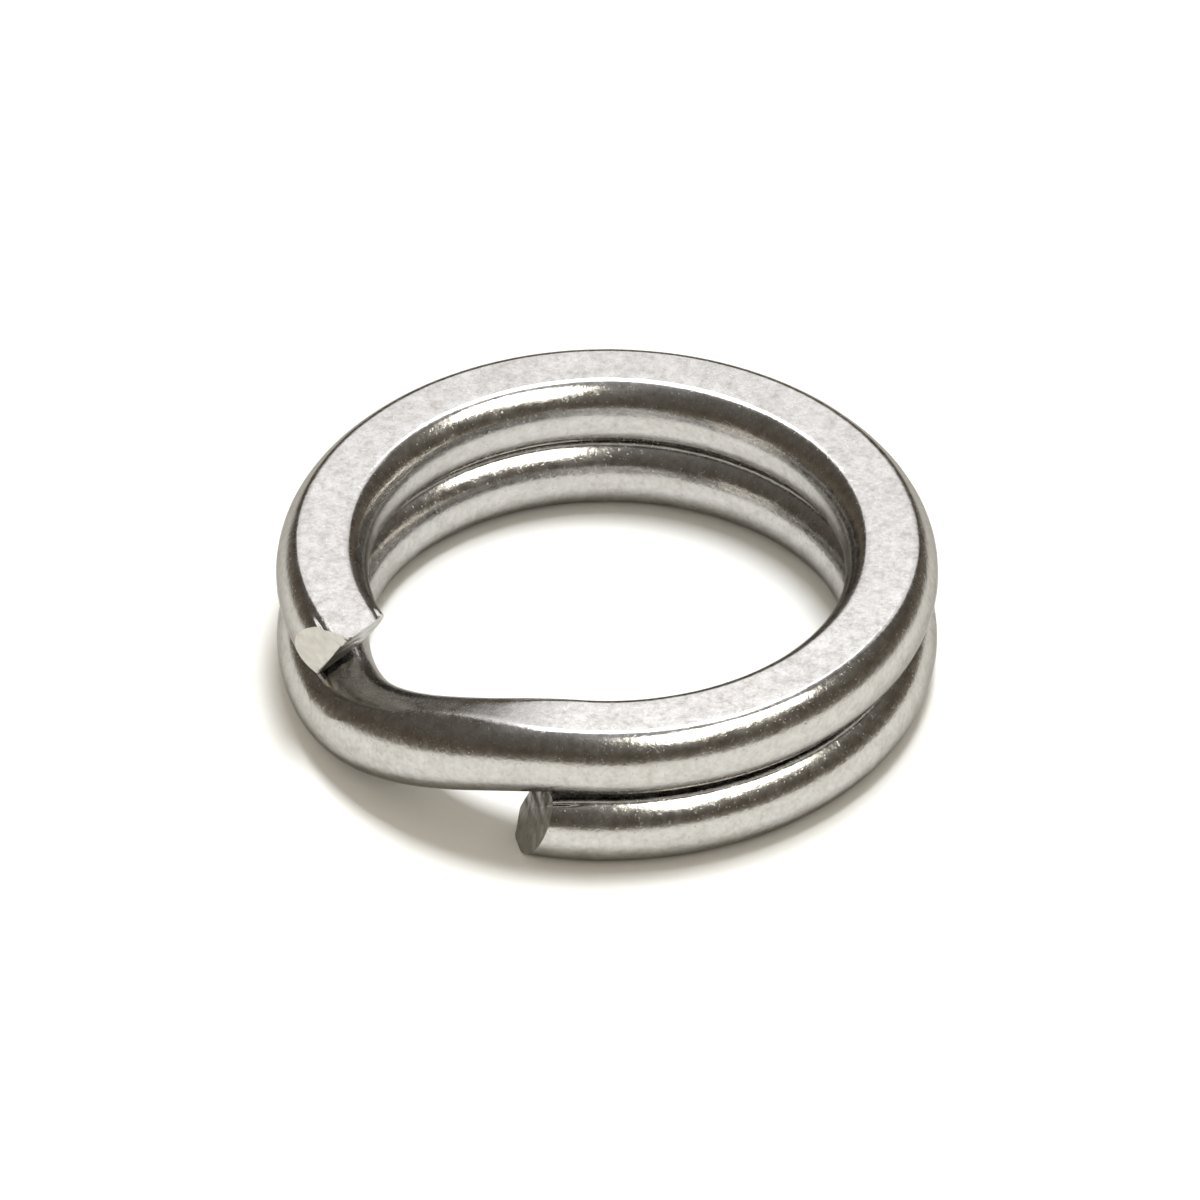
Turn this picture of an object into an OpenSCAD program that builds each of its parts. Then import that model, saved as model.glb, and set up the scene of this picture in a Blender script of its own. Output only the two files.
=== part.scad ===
// Split key ring: two turns of spring wire, joined by one crossover, lying closed on each other.
// Lengths are millimetres. +Z is the ring's axis and the origin is the middle of the lower face.
// An azimuth is in degrees, counter-clockwise from +X seen from above, and -Y (270) is the front.
// The wire climbs from the lower turn to the upper turn as the azimuth grows, so it winds
// right-handed. Each named length is cut square to the wire where the spring is taken to twist.

/* [Ring] */
// Outer diameter of the ring
ring_od = 15; // [13:0.5:18]
// Diameter of the round wire
wire_d = 2.1; // [2:0.02:2.2]
// Height of one turn between its upper and lower ground faces
turn_h = 1.76; // [1.7:0.01:1.78]
// Clearance between the two turns at the back, where they lie closest
gap_back = 0.04; // [0.04:0.01:0.1]
// Clearance between the two turns at the front, beside the free ends
gap_front = 0.17; // [0.17:0.01:0.25]

/* [Crossover] */
// Azimuth where the wire leaves the lower turn
cross_start = 198; // [197:1:202]
// Azimuth where the wire has reached the upper turn
cross_end = 264; // [262:1:264]
// How much higher the wire stands halfway along, where its faces are not ground as deep
cross_rounding = 0.24; // [0:0.01:0.3]

/* [Ends] */
// Azimuth of the blunt end of the lower turn
lower_end = 251.3; // [250:0.1:253]
// Azimuth of the point of the upper turn
upper_point = 211.4; // [210:0.1:213]

/* [Hidden] */

wire_r = wire_d / 2;
face_z = turn_h / 2;
// half the width of a ground face
face_edge = sqrt(wire_r * wire_r - face_z * face_z);
// radius of the wire's centre line
mean_r = (ring_od - wire_d) / 2;
// heights of the two turns' centre lines, the upper one above the ring's axis
lower_z = face_z;
upper_z = face_z + turn_h + (gap_front + gap_back) / 2;
// the upper turn leans back by this angle, so that its gap opens towards the front
lean = asin((gap_front - gap_back) / (2 * mean_r));

// the two turns are cut every eighth of a turn, midway between the compass directions
eighth = 45;
cut_right = 22.5;
// the free ends start here
upper_tip_start = 192;
lower_tip_start = 264;

curve_fn = 240;
section_fn = 96;
steel = [0.72, 0.71, 0.69];
ground_steel = [0.80, 0.80, 0.83];
cut_steel = [0.62, 0.59, 0.54];

// A point beside the centre line of each turn: azimuth, distance outwards and height.
function on_lower(azimuth, out, up) = [
  (mean_r + out) * cos(azimuth),
  (mean_r + out) * sin(azimuth),
  lower_z + up
];
function on_upper(azimuth, out, up) =
  let (x = (mean_r + out) * cos(azimuth), y = (mean_r + out) * sin(azimuth))
  [x, y * cos(lean) + up * sin(lean), upper_z + up * cos(lean) - y * sin(lean)];

// The wire's section: a circle with its top and bottom ground flat.
module section() {
  intersection() {
    circle(d = wire_d, $fn = section_fn);
    square([2 * wire_d, turn_h], center = true);
  }
}

// A length of one turn, flat about the ring's axis, between two azimuths.
module turn(from, to) {
  rotate([0, 0, from])
    rotate_extrude(angle = to - from, $fn = curve_fn)
      translate([mean_r, 0])
        section();
}

module lower_turn(from, to) {
  translate([0, 0, lower_z])
    turn(from, to);
}

module upper_turn(from, to) {
  translate([0, 0, upper_z])
    rotate([-lean, 0, 0])
      turn(from, to);
}

// A block that fills the side of the plane through three points that its normal points to.
bite = 8;
module beyond(a, b, c) {
  n = cross(b - a, c - a);
  translate(a)
    rotate([0, acos(n.z / norm(n)), atan2(n.y, n.x)])
      translate([-bite / 2, -bite / 2, 0])
        cube(bite);
}

// The crossover is swept through sections that ease from one turn's plane to the other's.
cross_steps = 28;
arc_steps = 12;
cross_run = mean_r * (cross_end - cross_start) * PI / 180;
cross_rise = upper_z - lower_z;
function ease(u) = u * u * (3 - 2 * u);
function slope(u) = 6 * u * (1 - u) * cross_rise / cross_run;
function cross_face_z(u) = face_z + cross_rounding / 2 * pow(sin(180 * u), 2);
// a section square to the climbing wire is taller when it is cut upright
function upright(u) = sqrt(1 + slope(u) * slope(u));
function cross_section(u) =
  let (edge = asin(cross_face_z(u) / wire_r))
  [for (side = [0, 180], i = [0 : arc_steps])
    let (a = side - edge + 2 * edge * i / arc_steps)
    [wire_r * cos(a), wire_r * sin(a) * upright(u)]];
function cross_ring(u) =
  let (azimuth = cross_start + (cross_end - cross_start) * u, share = ease(u))
  [for (p = cross_section(u))
    (1 - share) * on_lower(azimuth, p.x, p.y) + share * on_upper(azimuth, p.x, p.y)];

module crossover() {
  around = 2 * (arc_steps + 1);
  points = [for (k = [0 : cross_steps]) each cross_ring(k / cross_steps)];
  sides = [for (k = [0 : cross_steps - 1], i = [0 : around - 1])
    let (a = k * around, b = a + around, j = (i + 1) % around)
    each [[a + i, b + i, b + j], [a + i, b + j, a + j]]];
  first_end = [for (i = [0 : around - 1]) i];
  last_end = [for (i = [around - 1 : -1 : 0]) cross_steps * around + i];
  color(steel)
    polyhedron(points, concat(sides, [first_end, last_end]), convexity = 4);
}

// The upper turn, from the crossover round to its free end at the front left.
module upper_coil_front() {
  color(steel) upper_turn(cross_end, cut_right - 2 * eighth + 360);
}
module upper_coil_front_right() {
  color(ground_steel) upper_turn(cut_right - 2 * eighth, cut_right - eighth);
}
module upper_coil_right() {
  color(steel) upper_turn(cut_right - eighth, cut_right);
}
module upper_coil_back_right() {
  color(ground_steel) upper_turn(cut_right, cut_right + eighth);
}
module upper_coil_back() {
  color(steel) upper_turn(cut_right + eighth, cut_right + 2 * eighth);
}
module upper_coil_back_left() {
  color(ground_steel) upper_turn(cut_right + 2 * eighth, cut_right + 3 * eighth);
}
module upper_coil_left() {
  color(steel) upper_turn(cut_right + 3 * eighth, upper_tip_start);
}

// The upper free end: a pinched wedge whose two facets meet in a ridge down its front.
module upper_tip() {
  point = on_upper(upper_point, 0.31, face_z);
  ridge_foot = on_upper(upper_point - 8.5, 0.65, -face_z);
  outer_shoulder = on_upper(upper_point - 3.9, face_edge, face_z);
  inner_shoulder = on_upper(upper_point - 8, -0.97, 0.4);
  color(cut_steel)
    difference() {
      upper_turn(upper_tip_start, upper_point + 2);
      beyond(point, outer_shoulder, ridge_foot);
      beyond(point, ridge_foot, inner_shoulder);
    }
}

// The lower turn, from the crossover back round to its free end at the front.
module lower_coil_left() {
  color(steel) lower_turn(cut_right + 3 * eighth, cross_start);
}
module lower_coil_back_left() {
  color(ground_steel) lower_turn(cut_right + 2 * eighth, cut_right + 3 * eighth);
}
module lower_coil_back() {
  color(steel) lower_turn(cut_right + eighth, cut_right + 2 * eighth);
}
module lower_coil_back_right() {
  color(ground_steel) lower_turn(cut_right, cut_right + eighth);
}
module lower_coil_right() {
  color(steel) lower_turn(cut_right - eighth, cut_right);
}
module lower_coil_front_right() {
  color(ground_steel) lower_turn(cut_right - 2 * eighth, cut_right - eighth);
}
module lower_coil_front() {
  color(steel) lower_turn(lower_tip_start, cut_right - 2 * eighth + 360);
}

// The lower free end: a blunter cut, with a wide face outwards and a narrow one inwards.
module lower_tip() {
  upper_corner = on_lower(lower_end + 8.75, face_edge, face_z);
  outer_corner = on_lower(lower_end + 6.4, 1, -0.32);
  lower_corner = on_lower(lower_end + 2.5, 0.525, -face_z);
  inner_low = on_lower(lower_end - 0.6, -0.35, -0.5);
  inner_mid = on_lower(lower_end + 1.35, -0.35, 0);
  inner_shoulder = on_lower(lower_end + 6.5, -1.05, 0);
  color(cut_steel)
    difference() {
      lower_turn(lower_end, lower_tip_start);
      beyond(upper_corner, lower_corner, outer_corner);
      beyond(inner_low, inner_mid, inner_shoulder);
    }
}

crossover();
upper_coil_front();
upper_coil_front_right();
upper_coil_right();
upper_coil_back_right();
upper_coil_back();
upper_coil_back_left();
upper_coil_left();
upper_tip();
lower_coil_left();
lower_coil_back_left();
lower_coil_back();
lower_coil_back_right();
lower_coil_right();
lower_coil_front_right();
lower_coil_front();
lower_tip();
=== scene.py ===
"""Split key ring: the looks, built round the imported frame. Lengths are millimetres until a mesh is made."""

import math

import bpy
import numpy as np
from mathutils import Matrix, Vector

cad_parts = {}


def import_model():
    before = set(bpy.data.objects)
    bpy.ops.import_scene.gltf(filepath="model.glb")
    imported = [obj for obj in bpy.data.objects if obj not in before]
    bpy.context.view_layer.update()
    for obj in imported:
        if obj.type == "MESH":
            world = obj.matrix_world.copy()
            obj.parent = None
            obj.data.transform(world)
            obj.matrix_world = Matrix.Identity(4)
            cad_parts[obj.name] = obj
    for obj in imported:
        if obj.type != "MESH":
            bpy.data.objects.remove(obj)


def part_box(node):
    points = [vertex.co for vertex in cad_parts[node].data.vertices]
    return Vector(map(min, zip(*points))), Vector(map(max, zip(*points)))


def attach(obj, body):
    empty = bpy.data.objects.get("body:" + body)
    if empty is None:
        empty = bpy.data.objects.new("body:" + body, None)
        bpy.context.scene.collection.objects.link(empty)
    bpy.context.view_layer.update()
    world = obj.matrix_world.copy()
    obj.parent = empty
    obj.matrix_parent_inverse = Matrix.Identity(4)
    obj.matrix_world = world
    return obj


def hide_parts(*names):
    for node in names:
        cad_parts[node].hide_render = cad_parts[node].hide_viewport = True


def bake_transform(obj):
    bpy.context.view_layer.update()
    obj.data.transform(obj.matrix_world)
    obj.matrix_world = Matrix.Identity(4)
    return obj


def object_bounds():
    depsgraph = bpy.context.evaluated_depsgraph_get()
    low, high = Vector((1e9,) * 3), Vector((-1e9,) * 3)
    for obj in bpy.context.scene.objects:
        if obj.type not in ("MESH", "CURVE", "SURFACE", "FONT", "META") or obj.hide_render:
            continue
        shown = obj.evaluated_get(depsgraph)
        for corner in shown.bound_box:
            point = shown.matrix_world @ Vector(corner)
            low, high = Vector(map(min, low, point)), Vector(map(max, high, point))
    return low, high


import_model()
cad_low, cad_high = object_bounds()

MM = 0.001

# ---------------------------------------------------------------- the ring's own dimensions

HALF_EIGHTH = 22.5
outer_r = cad_high.x / MM
right_low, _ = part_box("lower_coil_right")
inner_r = right_low.x / MM / math.cos(math.radians(HALF_EIGHTH))
_, back_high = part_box("lower_coil_back")
turn_h = back_high.z / MM
wire_r = (outer_r - inner_r) / 2
mean_r = (outer_r + inner_r) / 2
face_z = turn_h / 2
face_edge = math.sqrt(wire_r**2 - face_z**2)

# the upper turn leans back a little, so the gap between the turns opens towards the front
GAP_BACK = 0.04
GAP_FRONT = 0.17
lean = math.asin((GAP_FRONT - GAP_BACK) / (2 * mean_r))
lower_z = face_z
upper_z = face_z + turn_h + (GAP_FRONT + GAP_BACK) / 2

# azimuths count up along the wire, from the lower free end to the upper one, a full turn and more
CROSS_START = 198.0
CROSS_END = 264.0
CROSS_ROUNDING = 0.24
LOWER_END = 251.3 - 360
UPPER_POINT = 211.4 + 360
cross_run = mean_r * math.radians(CROSS_END - CROSS_START)

# the ground faces meet the round sides in a softened edge of this radius, wider along the crossover
EDGE_ROUND = 0.32
CROSS_EDGE_ROUND = 0.82
# azimuths between which the edges soften, and between which they sharpen again
SOFTENING = (192, 208)
SHARPENING = (238, 264)


def ease(u):
    """A smooth step from 0 to 1."""
    u = np.clip(u, 0, 1)
    return u * u * (3 - 2 * u)


def cross_share(azimuth):
    """How far along the crossover an azimuth is, from 0 to 1."""
    return np.clip((np.asarray(azimuth) - CROSS_START) / (CROSS_END - CROSS_START), 0, 1)


def place(azimuth, out, up):
    """Points beside the centre line: azimuth in degrees, distance outwards and height."""
    angle = np.radians(azimuth)
    x = (mean_r + out) * np.cos(angle)
    y = (mean_r + out) * np.sin(angle)
    low = np.stack([x, y, lower_z + up], -1)
    leaning = [
        x,
        y * math.cos(lean) + up * math.sin(lean),
        upper_z + up * math.cos(lean) - y * math.sin(lean),
    ]
    high = np.stack(leaning, -1)
    share = ease(cross_share(azimuth))[..., None]
    return (1 - share) * low + share * high


def upright(azimuth):
    """A section square to the climbing wire is this much taller when it is cut upright."""
    u = cross_share(azimuth)
    slope = 6 * u * (1 - u) * (upper_z - lower_z) / cross_run
    return np.sqrt(1 + slope**2)


def half_height(azimuth):
    """Half the height of the section, whose faces are ground less deep on the crossover."""
    return face_z + CROSS_ROUNDING / 2 * np.sin(math.pi * cross_share(azimuth)) ** 2


def edge_round(azimuth):
    """The radius of the ground faces' edges."""
    softening = ease((azimuth - SOFTENING[0]) / (SOFTENING[1] - SOFTENING[0]))
    sharpening = ease((azimuth - SHARPENING[0]) / (SHARPENING[1] - SHARPENING[0]))
    softer = softening * (1 - sharpening)
    return EDGE_ROUND + (CROSS_EDGE_ROUND - EDGE_ROUND) * softer


# ---------------------------------------------------------------- the wire's section

ARC_STEPS = 30
CORNER_STEPS = 6
FLAT_STEPS = 8


def arc(centre, radius, start, end, steps):
    """Points on an arc, without its last one."""
    a = np.linspace(start, end, steps, endpoint=False)
    return np.stack([centre[0] + radius * np.cos(a), centre[1] + radius * np.sin(a)], -1)


def outline(half, rho=EDGE_ROUND):
    """The section's outline, counter-clockwise from the outer side's lower edge."""
    r = wire_r
    cz = half - rho
    cx = math.sqrt(max((r - rho) ** 2 - cz**2, 0))
    corner = math.atan2(cz, cx)
    quarter, turn = math.pi / 2, math.pi
    flat = np.linspace(cx, -cx, FLAT_STEPS, endpoint=False)
    return np.concatenate(
        [
            arc((0, 0), r, -corner, corner, ARC_STEPS),
            arc((cx, cz), rho, corner, quarter, CORNER_STEPS),
            np.stack([flat, np.full(FLAT_STEPS, half)], -1),
            arc((-cx, cz), rho, quarter, turn - corner, CORNER_STEPS),
            arc((0, 0), r, turn - corner, turn + corner, ARC_STEPS),
            arc((-cx, -cz), rho, turn + corner, 3 * quarter, CORNER_STEPS),
            np.stack([-flat, np.full(FLAT_STEPS, -half)], -1),
            arc((cx, -cz), rho, 3 * quarter, 2 * turn - corner, CORNER_STEPS),
        ]
    )


AROUND = 2 * ARC_STEPS + 4 * CORNER_STEPS + 2 * FLAT_STEPS
ground_part = np.zeros(AROUND)
first_flat = ARC_STEPS + CORNER_STEPS
ground_part[first_flat : first_flat + FLAT_STEPS + 1] = 1
second_flat = first_flat + FLAT_STEPS + 2 * CORNER_STEPS + ARC_STEPS
ground_part[second_flat : second_flat + FLAT_STEPS + 1] = 1
top_part = np.zeros(AROUND)
top_part[ARC_STEPS : ARC_STEPS + 2 * CORNER_STEPS + FLAT_STEPS + 1] = 1

# ---------------------------------------------------------------- the surface's slight waviness

WAVES = 14
WAVE_HEIGHT = 0.0022
rng = np.random.default_rng(7)
wave_way = rng.normal(size=(WAVES, 3))
wave_way /= np.linalg.norm(wave_way, axis=1)[:, None]
wave_length = rng.uniform(0.9, 3.4, WAVES)
wave_phase = rng.uniform(0, 2 * math.pi, WAVES)


def waviness(points):
    """How far each point of the surface stands out from the plain shape."""
    angles = points @ wave_way.T * (2 * math.pi / wave_length) + wave_phase
    return WAVE_HEIGHT * np.sin(angles).sum(-1) / math.sqrt(WAVES)


def section_at(azimuth):
    """The outline at each azimuth, as an array of azimuths by points by (out, up)."""
    halves = half_height(azimuth)
    rings = np.stack([outline(h, rho) for h, rho in zip(halves, edge_round(azimuth))])
    return rings * np.stack([np.ones_like(halves), upright(azimuth)], -1)[:, None, :]


def wavy(azimuth, section):
    """The wire's surface, with its waviness along the section's own outward direction."""
    centre_out = section / np.maximum(np.linalg.norm(section, axis=-1, keepdims=True), 1e-9)
    bare = place(azimuth, section[..., 0], section[..., 1])
    moved = section + centre_out * waviness(bare)[..., None]
    return place(azimuth, moved[..., 0], moved[..., 1])


# normals are taken from points this many degrees to each side
NORMAL_STEP = 0.2


def surface(azimuth, section):
    """Points and outward normals. azimuth and section have one value for each point of a grid."""
    points = wavy(azimuth, section)
    along = wavy(azimuth + NORMAL_STEP, section) - wavy(azimuth - NORMAL_STEP, section)
    before = wavy(azimuth, np.roll(section, 1, axis=1))
    after = wavy(azimuth, np.roll(section, -1, axis=1))
    normal = np.cross(after - before, along)
    return points, -normal / np.linalg.norm(normal, axis=-1, keepdims=True)


# ---------------------------------------------------------------- meshes


def build(name, points, faces, loop_normals, ground, materials, face_material=None):
    """A mesh with its own normals, its rest place in millimetres and its ground share stored."""
    mesh = bpy.data.meshes.new(name)
    mesh.from_pydata((points * MM).tolist(), [], faces)
    mesh.polygons.foreach_set("use_smooth", [True] * len(faces))
    mesh.normals_split_custom_set(loop_normals)
    rest = mesh.attributes.new("rest_mm", "FLOAT_VECTOR", "POINT")
    rest.data.foreach_set("vector", points.astype(np.float32).ravel())
    share = mesh.attributes.new("ground", "FLOAT", "POINT")
    share.data.foreach_set("value", ground.astype(np.float32))
    for material in materials:
        mesh.materials.append(material)
    if face_material is not None:
        mesh.polygons.foreach_set("material_index", face_material)
    mesh.update()
    made = bpy.data.objects.new(name, mesh)
    bpy.context.scene.collection.objects.link(made)
    return made


def tube_faces(rows, around):
    """Quads between rings of points, wound so that they face outwards."""
    i, j = np.meshgrid(np.arange(rows - 1), np.arange(around), indexing="ij")
    k = (j + 1) % around
    a, b = i * around, (i + 1) * around
    return np.stack([a + j, b + j, b + k, a + k], -1).reshape(-1, 4)


# degrees of azimuth between one ring of points and the next
STEP_DEG = 0.9


def wire_length(name, start, end, materials):
    """A plain length of the wire between two azimuths, closed at both ends."""
    rows = int(round((end - start) / STEP_DEG)) + 1
    azimuth = np.linspace(start, end, rows)
    section = section_at(azimuth)
    grid = np.repeat(azimuth[:, None], AROUND, axis=1)
    points, normals = surface(grid, section)
    quads = tube_faces(rows, AROUND)
    first = list(range(AROUND))
    last = [(rows - 1) * AROUND + j for j in range(AROUND)][::-1]
    faces = [*quads.tolist(), first, last]
    flat_normals = normals.reshape(-1, 3)
    loops = [flat_normals[v] for v in quads.ravel()]
    loops += [end_normal(start, -1)] * AROUND + [end_normal(end, 1)] * AROUND
    ground = np.tile(ground_part, rows)
    return build(name, points.reshape(-1, 3), faces, loops, ground, materials)


def end_normal(azimuth, way):
    """The level direction along the wire at an azimuth, forwards or backwards."""
    angle = math.radians(azimuth)
    return np.array([-math.sin(angle), math.cos(angle), 0]) * way


# ---------------------------------------------------------------- the cut ends


def corner_point(azimuth, out, up):
    """One point beside the centre line."""
    return place(np.array(azimuth), np.array(out), np.array(up))


def plane(a, b, c, outside):
    """A plane through three points, with its normal towards the point outside the wire."""
    normal = np.cross(b - a, c - a)
    normal /= np.linalg.norm(normal)
    if normal @ (outside - a) < 0:
        normal = -normal
    return normal, a


# a cut is looked for within this many degrees of the end, by halving
SEARCH_DEG = 25.0
HALVINGS = 30


def reach(cut, section, start, way, about):
    """How many degrees beyond start each point of the section runs before the plane cuts it."""
    normal, at = cut
    low = np.full(section.shape[:-1], about - SEARCH_DEG)
    high = np.full(section.shape[:-1], about + SEARCH_DEG)
    for _ in range(HALVINGS):
        middle = (low + high) / 2
        place_now = place(start + way * middle, section[..., 0], section[..., 1])
        past = (place_now - at) @ normal > 0
        low, high = np.where(past, low, middle), np.where(past, middle, high)
    return (low + high) / 2


def soft_least(values, softness):
    """The least of several arrays, with the creases between them rounded."""
    values = np.stack(values)
    least = values.min(0)
    return least - softness * np.log(np.exp(-(values - least) / softness).sum(0))


# rings of points from the rim of a cut face to its middle
CAP_RINGS = 56
# the pinch draws the top face down beside the cut
DRAW_DEPTH = 0.1
DRAW_LENGTH = 1.0
# how far the crease between two cut faces is rounded, in degrees of azimuth
RIDGE_SOFTNESS = 0.06


def cut_end(name, start, way, cuts, end, materials):
    """The wire from an azimuth to a free end. way is +1 or -1, and cut faces take materials in turn."""
    about = abs(end - start)
    plain = outline(face_z)
    shares = np.linspace(1, 0, CAP_RINGS + 1)[:-1]
    disc = shares[:, None, None] * plain[None]
    reaches = [reach(cut, disc, start, way, about) for cut in cuts]
    ends = soft_least(reaches, RIDGE_SOFTNESS)
    cut_slots = np.minimum(1 + np.argmin(reaches, 0), len(materials) - 1).ravel().tolist()
    centre_ends = soft_least([reach(c, np.zeros((1, 2)), start, way, about) for c in cuts], RIDGE_SOFTNESS)

    side_rows = int(round(ends[0].max() / STEP_DEG)) + 1
    rows = np.linspace(0, 1, side_rows)[:, None]
    azimuth = start + way * rows * ends[0][None]
    section = np.repeat(plain[None], side_rows, axis=0)
    to_cut = np.radians(np.abs(azimuth - azimuth[-1])) * mean_r
    drawn = DRAW_DEPTH * np.clip(1 - to_cut / DRAW_LENGTH, 0, 1) ** 2
    section = section - np.stack([np.zeros_like(drawn), drawn * top_part], -1)
    side, side_normals = surface(azimuth, section)
    rim = side[-1]
    bare_rim = place(azimuth[-1], plain[:, 0], plain[:, 1])
    cap = place(start + way * ends, disc[..., 0], disc[..., 1])
    cap = cap + (rim - bare_rim)[None] * shares[:, None, None]
    centre = place(start + way * centre_ends, np.zeros(1), np.zeros(1))

    around = AROUND
    quads = tube_faces(side_rows, around)
    base = (side_rows - 1) * around
    cap_quads = tube_faces(CAP_RINGS, around) + base
    hub = base + CAP_RINGS * around
    last_ring = base + (CAP_RINGS - 1) * around
    fan = [[last_ring + j, hub, last_ring + (j + 1) % around] for j in range(around)]
    root = list(range(around))
    faces = [*quads.tolist(), *cap_quads.tolist(), *fan, root]
    if way < 0:
        faces = [f[::-1] for f in faces]
    points = np.concatenate([side.reshape(-1, 3), cap[1:].reshape(-1, 3), centre])

    inward = np.roll(cap, -1, axis=0) - cap
    inward[-1] = centre - cap[-1]
    inward[1:-1] = cap[2:] - cap[:-2]
    across = np.roll(cap, -1, axis=1) - np.roll(cap, 1, axis=1)
    cap_normals = np.cross(inward, across) * way
    cap_normals /= np.linalg.norm(cap_normals, axis=-1, keepdims=True)
    middle = cap_normals[-1].mean(0)
    by_vertex_side = side_normals.reshape(-1, 3)
    by_vertex_cap = np.concatenate([cap_normals.reshape(-1, 3), middle[None]])
    loops = []
    for k, face in enumerate(faces):
        if k < len(quads):
            loops += [by_vertex_side[v] for v in face]
        elif face is faces[-1]:
            loops += [end_normal(start, -way)] * len(face)
        else:
            loops += [by_vertex_cap[v - base] for v in face]
    ground = np.zeros(len(points))
    ground[: side_rows * around] = np.tile(ground_part, side_rows)
    slots = [0] * len(quads) + cut_slots + [0]
    return build(name, points, faces, loops, ground, materials, slots)


# ---------------------------------------------------------------- materials


def nodes_of(material):
    """A material's node tree and its shader."""
    material.use_nodes = True
    tree = material.node_tree
    return tree, tree.nodes["Principled BSDF"]


def add(tree, kind, **settings):
    """A new node. Each setting is the value of one of its sockets, or else of the node itself."""
    node = tree.nodes.new(kind)
    for key, value in settings.items():
        if key in node.inputs:
            node.inputs[key].default_value = value
        else:
            setattr(node, key, value)
    return node


def rest_place(tree):
    """Where the point is when the ring is at rest, in millimetres."""
    return add(tree, "ShaderNodeAttribute", attribute_name="rest_mm").outputs["Vector"]


def ramp(tree, source, stops):
    """Colours by value, from (position, colour) stops."""
    node = tree.nodes.new("ShaderNodeValToRGB")
    tree.links.new(source, node.inputs["Fac"])
    elements = node.color_ramp.elements
    while len(elements) < len(stops):
        elements.new(0.5)
    for element, (position, colour) in zip(elements, stops):
        element.position = position
        element.color = (*colour, 1)
    return node.outputs["Color"]


def texture(tree, kind, scale, **settings):
    """A texture that stays with the steel. Its scale is per millimetre."""
    node = add(tree, kind, Scale=scale, **settings)
    tree.links.new(rest_place(tree), node.inputs["Vector"])
    return node.outputs[0]


def levels(tree, value, low, high, to_low=0.0, to_high=1.0):
    """A value moved from one range to another, and kept within it."""
    node = add(tree, "ShaderNodeMapRange")
    tree.links.new(value, node.inputs["Value"])
    for name, number in zip(("From Min", "From Max", "To Min", "To Max"), (low, high, to_low, to_high)):
        node.inputs[name].default_value = number
    return node.outputs["Result"]


def math_node(tree, operation, a, b):
    node = add(tree, "ShaderNodeMath", operation=operation)
    for socket, value in zip(node.inputs, (a, b)):
        if isinstance(value, (int, float)):
            socket.default_value = value
        else:
            tree.links.new(value, socket)
    return node.outputs[0]


def bumped(tree, height, depth_mm, below=None):
    """A normal from a height, laid over another normal if there is one."""
    node = add(tree, "ShaderNodeBump", Strength=1.0, Distance=depth_mm * MM)
    tree.links.new(height, node.inputs["Height"])
    if below is not None:
        tree.links.new(below, node.inputs["Normal"])
    return node.outputs["Normal"]


def steel_material():
    """Tumbled spring steel: dull pits and grain on the round sides, a finer mottle on the ground faces."""
    material = bpy.data.materials.new("tumbled_steel")
    tree, shader = nodes_of(material)
    link = tree.links.new
    ground = add(tree, "ShaderNodeAttribute", attribute_name="ground").outputs["Fac"]
    tone = texture(tree, "ShaderNodeTexNoise", 3.0, Detail=8.0, Roughness=0.72)
    grain = texture(tree, "ShaderNodeTexNoise", 8.0, Detail=3.0, Roughness=0.55)
    speck = texture(tree, "ShaderNodeTexNoise", 13.0, Detail=2.0, Roughness=0.5)
    pits = levels(tree, speck, 0.63, 0.75)

    coarse, fine = math_node(tree, "MULTIPLY", tone, 0.6), math_node(tree, "MULTIPLY", grain, 0.4)
    mottled = math_node(tree, "ADD", coarse, fine)
    stops = [(0.32, (0.38, 0.36, 0.335)), (0.5, (0.50, 0.49, 0.475)), (0.66, (0.58, 0.575, 0.57))]
    link(ramp(tree, mottled, stops), shader.inputs["Base Color"])
    shader.inputs["Metallic"].default_value = 1.0
    shader.inputs["Specular Tint"].default_value = (0.45, 0.44, 0.42, 1)

    rough = levels(tree, tone, 0.35, 0.65, 0.15, 0.24)
    rough = math_node(tree, "ADD", rough, math_node(tree, "MULTIPLY", ground, 0.06))
    link(math_node(tree, "ADD", rough, math_node(tree, "MULTIPLY", pits, 0.15)), shader.inputs["Roughness"])

    sides = math_node(tree, "SUBTRACT", 1.0, math_node(tree, "MULTIPLY", ground, 0.55))
    height = math_node(tree, "SUBTRACT", grain, math_node(tree, "MULTIPLY", pits, 0.35))
    link(bumped(tree, math_node(tree, "MULTIPLY", height, sides), 0.0045), shader.inputs["Normal"])
    return material


def cut_material(name, dark, light, drag_mm):
    """A bare face of a pinch cut, dragged into fine steps by the cutter."""
    material = bpy.data.materials.new(name)
    tree, shader = nodes_of(material)
    link = tree.links.new
    tone = texture(tree, "ShaderNodeTexNoise", 3.5, Detail=5.0, Roughness=0.6)
    link(ramp(tree, tone, [(0.3, dark), (0.7, light)]), shader.inputs["Base Color"])
    shader.inputs["Metallic"].default_value = 1.0
    shader.inputs["Roughness"].default_value = 0.32

    slant = add(tree, "ShaderNodeMapping")
    link(rest_place(tree), slant.inputs["Vector"])
    slant.inputs["Rotation"].default_value = (0, math.radians(40), 0)
    steps = add(tree, "ShaderNodeTexWave", Scale=0.8, Distortion=4.0, Detail=3.0)
    steps.inputs["Detail Scale"].default_value = 2.5
    link(slant.outputs["Vector"], steps.inputs["Vector"])
    drag = bumped(tree, steps.outputs["Fac"], drag_mm)
    grain = texture(tree, "ShaderNodeTexNoise", 9.0, Detail=3.0, Roughness=0.6)
    link(bumped(tree, grain, 0.005, drag), shader.inputs["Normal"])
    return material


steel = steel_material()
cut_steel = cut_material("cut_steel", (0.44, 0.42, 0.38), (0.58, 0.565, 0.53), 0.005)
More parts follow.
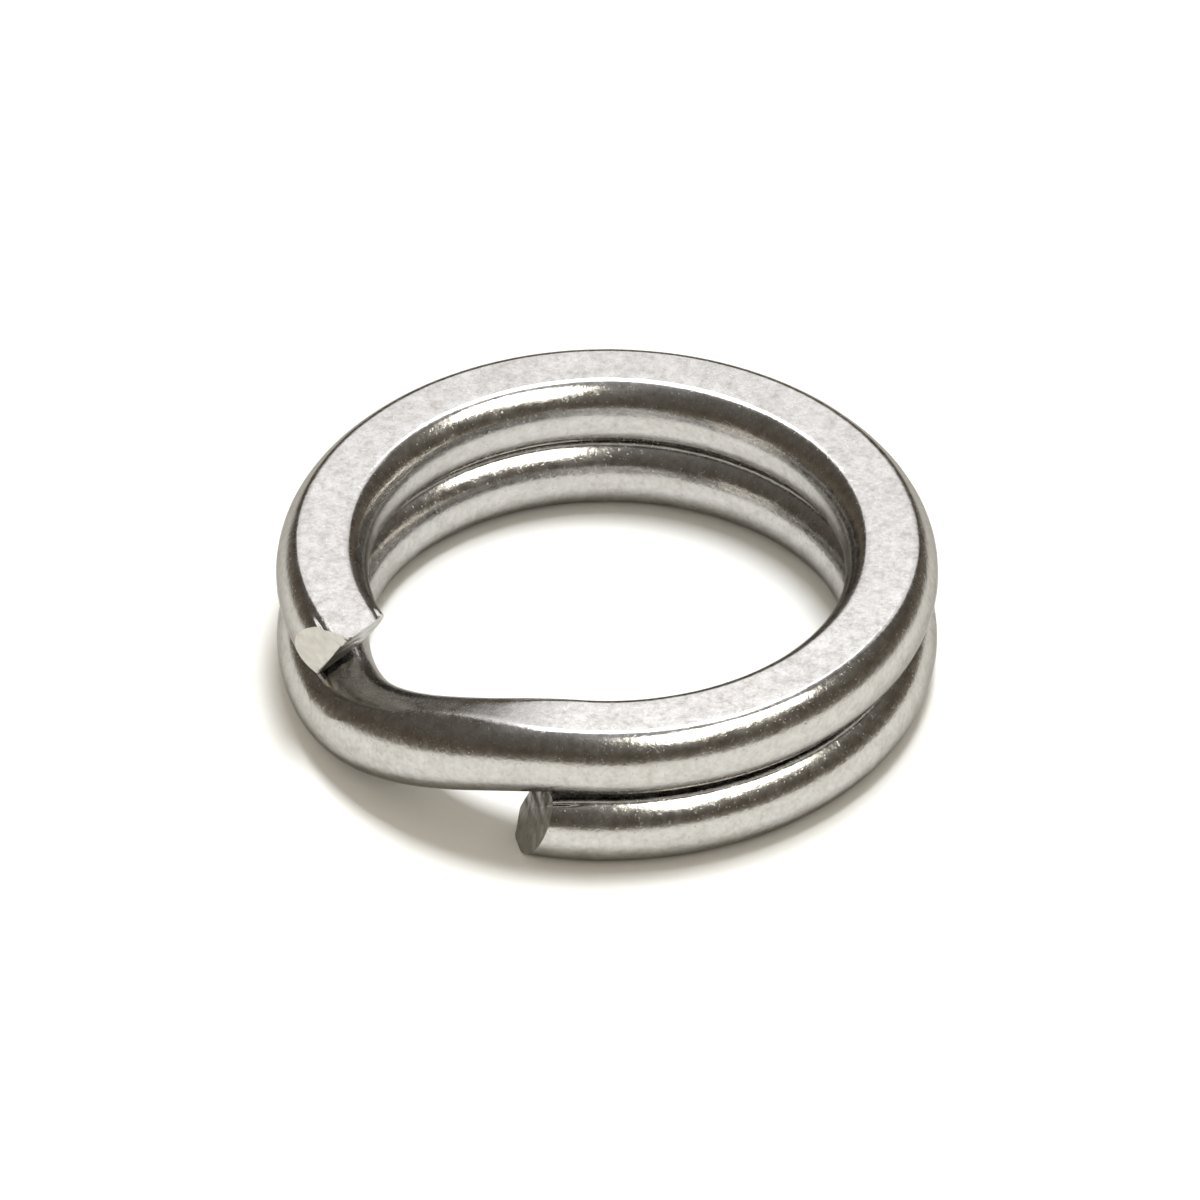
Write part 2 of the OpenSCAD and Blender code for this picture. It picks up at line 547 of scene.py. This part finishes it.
# the broken side of a pinch cut is coloured darker than the sheared side: this dark colour is painted shade,
# standing in for the dark surroundings these faces reflect; its deeper drag marks are the cut's own texture
painted_shade_cut_steel = cut_material("painted_shade_cut_steel", (0.19, 0.175, 0.15), (0.34, 0.33, 0.305), 0.022)

# ---------------------------------------------------------------- the wire, length by length


def lower_cuts():
    """The planes of the lower end: a wide face outwards, a narrow one inwards and a blunt end."""
    outside = corner_point(LOWER_END - 20, 0, 0)
    upper_corner = corner_point(LOWER_END + 8.75, face_edge, face_z)
    outer_corner = corner_point(LOWER_END + 6.4, 1, -0.32)
    lower_corner = corner_point(LOWER_END + 2.5, 0.525, -face_z)
    inner_low = corner_point(LOWER_END - 0.6, -0.35, -0.5)
    inner_mid = corner_point(LOWER_END + 1.35, -0.35, 0)
    inner_shoulder = corner_point(LOWER_END + 6.5, -1.05, 0)
    blunt = [corner_point(LOWER_END, out, up) for out, up in ((0, 0), (0.5, 0), (0, 0.5))]
    return [
        plane(upper_corner, outer_corner, lower_corner, outside),
        plane(inner_low, inner_mid, inner_shoulder, outside),
        plane(*blunt, outside),
    ]


def upper_cuts():
    """The planes of the upper end, which meet in a ridge."""
    outside = corner_point(UPPER_POINT + 20, 0, 0)
    point = corner_point(UPPER_POINT, 0.31, face_z)
    ridge_foot = corner_point(UPPER_POINT - 8.5, 0.65, -face_z)
    outer_shoulder = corner_point(UPPER_POINT - 3.9, face_edge, face_z)
    inner_shoulder = corner_point(UPPER_POINT - 8, -0.97, 0.4)
    return [
        plane(point, ridge_foot, outer_shoulder, outside),
        plane(point, ridge_foot, inner_shoulder, outside),
    ]


def nodes_between(start, end):
    """The CAD lengths of wire that a stretch of azimuths covers."""
    spans = {
        "lower_tip": (LOWER_END, -96),
        "lower_coil_front": (-96, -67.5),
        "lower_coil_front_right": (-67.5, -22.5),
        "lower_coil_right": (-22.5, 22.5),
        "lower_coil_back_right": (22.5, 67.5),
        "lower_coil_back": (67.5, 112.5),
        "lower_coil_back_left": (112.5, 157.5),
        "lower_coil_left": (157.5, CROSS_START),
        "crossover": (CROSS_START, CROSS_END),
        "upper_coil_front": (CROSS_END, 292.5),
        "upper_coil_front_right": (292.5, 337.5),
        "upper_coil_right": (337.5, 382.5),
        "upper_coil_back_right": (382.5, 427.5),
        "upper_coil_back": (427.5, 472.5),
        "upper_coil_back_left": (472.5, 517.5),
        "upper_coil_left": (517.5, 552),
        "upper_tip": (552, UPPER_POINT),
    }
    return [n for n, (low, high) in spans.items() if low < end - 1 and high > start + 1]


def finish_length(piece, start, end):
    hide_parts(*nodes_between(start, end))


# the azimuths of the free ends' hinges, and how far the twisting length of wire reaches to both sides of each
LOWER_HINGE = 67.5
UPPER_HINGE = 382.5
TWIST = 67.5


def plain_length(name, start, end):
    piece = wire_length(name, start, end, [steel])
    finish_length(piece, start, end)
    return piece


def twisting_length(name, hinge):
    piece = plain_length(name, hinge - TWIST, hinge + TWIST)
    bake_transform(piece)


def ending_length(name, start, way, cuts, end, body, faces):
    piece = cut_end(name, start, way, cuts, end, [steel, *faces])
    finish_length(piece, *sorted((start, end)))
    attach(piece, body)


# the lower end's cut faces all take the darker cut finish, whose colour is painted shade
ending_length("wire_lower_end", LOWER_HINGE - TWIST, -1, lower_cuts(), LOWER_END, "lower_end", [painted_shade_cut_steel])
twisting_length("wire_lower_twist", LOWER_HINGE)
crossing = plain_length("wire_crossover", LOWER_HINGE + TWIST, UPPER_HINGE - TWIST)
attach(crossing, "crossover")
twisting_length("wire_upper_twist", UPPER_HINGE)
# the upper end's inner cut face takes the darker cut finish, whose colour is painted shade
upper_faces = [cut_steel, painted_shade_cut_steel]
ending_length("wire_upper_end", UPPER_HINGE + TWIST, 1, upper_cuts(), UPPER_POINT, "upper_end", upper_faces)

# ---------------------------------------------------------------- floor, lights and camera

scene = bpy.context.scene
scene.view_settings.view_transform = "Standard"

VIEW_ELEVATION = 38.95
VIEW_DISTANCE = 0.40
VIEW_WIDTH = 0.0272
SENSOR = 36.0
# the floor, in metres: half its side, and the distances between which its colour darkens; the darkening is
# painted shade standing in for the light falling off beyond the lit table, and shows only in the steel's
# reflections
FLOOR_HALF = 0.9
FLOOR_PAINTED_SHADE = (0.027, 0.06)


def floor():
    """A pale table whose colour falls away to dark beyond what is seen of it, as painted shade for the steel
    to reflect.
    """
    mesh = bpy.data.meshes.new("floor")
    corners = [(x * FLOOR_HALF, y * FLOOR_HALF, 0) for x, y in ((-1, -1), (1, -1), (1, 1), (-1, 1))]
    mesh.from_pydata(corners, [], [(0, 1, 2, 3)])
    material = bpy.data.materials.new("pale_floor")
    tree, shader = nodes_of(material)
    where = tree.nodes.new("ShaderNodeTexCoord").outputs["Object"]
    length = add(tree, "ShaderNodeVectorMath", operation="LENGTH")
    tree.links.new(where, length.inputs[0])
    # the dark colour far out is painted shade, not the table's own colour
    pale, dark = (0.92, 0.915, 0.90), (0.20, 0.19, 0.18)
    fade = ramp(tree, levels(tree, length.outputs["Value"], *FLOOR_PAINTED_SHADE), [(0.0, pale), (1.0, dark)])
    tree.links.new(fade, shader.inputs["Base Color"])
    shader.inputs["Roughness"].default_value = 0.8
    shader.inputs["Specular IOR Level"].default_value = 0.1
    mesh.materials.append(material)
    made = bpy.data.objects.new("floor", mesh)
    scene.collection.objects.link(made)


def aim(thing, at, target):
    """Puts a light or camera somewhere, looking at the target."""
    thing.location = at
    thing.rotation_mode = "QUATERNION"
    thing.rotation_quaternion = (Vector(target) - Vector(at)).to_track_quat("-Z", "Y")


def direction(azimuth, elevation):
    """A unit vector, from angles in degrees."""
    a, e = math.radians(azimuth), math.radians(elevation)
    return Vector((math.cos(a) * math.cos(e), math.sin(a) * math.cos(e), math.sin(e)))


def card(name, azimuth, elevation, distance, size, radiance, colour, glossy=True):
    """An even light card aimed at the ring. Either glossy rays see it, or diffuse ones do."""
    light = bpy.data.lights.new(name, "AREA")
    light.shape = "RECTANGLE"
    light.size, light.size_y = size
    # a flat card of one radiance gives out pi times that for each square metre
    light.energy = radiance * math.pi * size[0] * size[1]
    light.color = colour
    made = bpy.data.objects.new(name, light)
    scene.collection.objects.link(made)
    aim(made, direction(azimuth, elevation) * distance, (0, 0, 0.002))
    made.visible_camera = False
    made.visible_glossy = glossy
    made.visible_diffuse = not glossy


def world():
    """What the steel reflects is dark and warm; what lights the floor is a pale dome."""
    scene.world = bpy.data.worlds.new("studio")
    scene.world.use_nodes = True
    tree = scene.world.node_tree
    background = tree.nodes["Background"]
    link = tree.links.new
    way = tree.nodes.new("ShaderNodeTexCoord").outputs["Generated"]
    up = add(tree, "ShaderNodeSeparateXYZ")
    link(way, up.inputs[0])
    surroundings = ramp(
        tree,
        up.outputs["Z"],
        [
            (0.0, (0.24, 0.20, 0.15)),
            (0.25, (0.11, 0.092, 0.07)),
            (0.75, (0.17, 0.155, 0.135)),
            (1.0, (0.42, 0.42, 0.43)),
        ],
    )
    diffuse = tree.nodes.new("ShaderNodeLightPath").outputs["Is Diffuse Ray"]
    mix = tree.nodes.new("ShaderNodeMix")
    mix.data_type = "RGBA"
    link(diffuse, mix.inputs["Factor"])
    link(surroundings, mix.inputs["A"])
    mix.inputs["B"].default_value = (0.62, 0.57, 0.48, 1)
    link(mix.outputs["Result"], background.inputs["Color"])


def camera():
    """A long lens from the front, so that the ring is seen nearly without perspective."""
    data = bpy.data.cameras.new("camera")
    data.sensor_width = SENSOR
    data.lens = SENSOR * VIEW_DISTANCE / VIEW_WIDTH
    data.clip_start, data.clip_end = 0.01, 3.0
    made = bpy.data.objects.new("camera", data)
    scene.collection.objects.link(made)
    # the ring stands a little right of the picture's middle, with its upper turn above it
    target = Vector((-0.16, 0, 1.84)) * MM
    e = math.radians(VIEW_ELEVATION)
    aim(made, target + Vector((0, -math.cos(e), math.sin(e))) * VIEW_DISTANCE, target)
    scene.camera = made


floor()
world()
camera()
card("overhead_card", 95, 66, 0.13, (0.085, 0.07), 5.0, (1.0, 1.0, 1.0))
card("back_card", 86, 39, 0.22, (0.24, 0.105), 1.3, (0.985, 0.98, 1.0))
card("front_right_softbox", -40, 53, 0.16, (0.12, 0.06), 11.0, (1.0, 0.965, 0.87))
card("floor_light", 50, 82, 0.4, (0.12, 0.12), 33.0, (0.95, 0.98, 1.0), glossy=False)
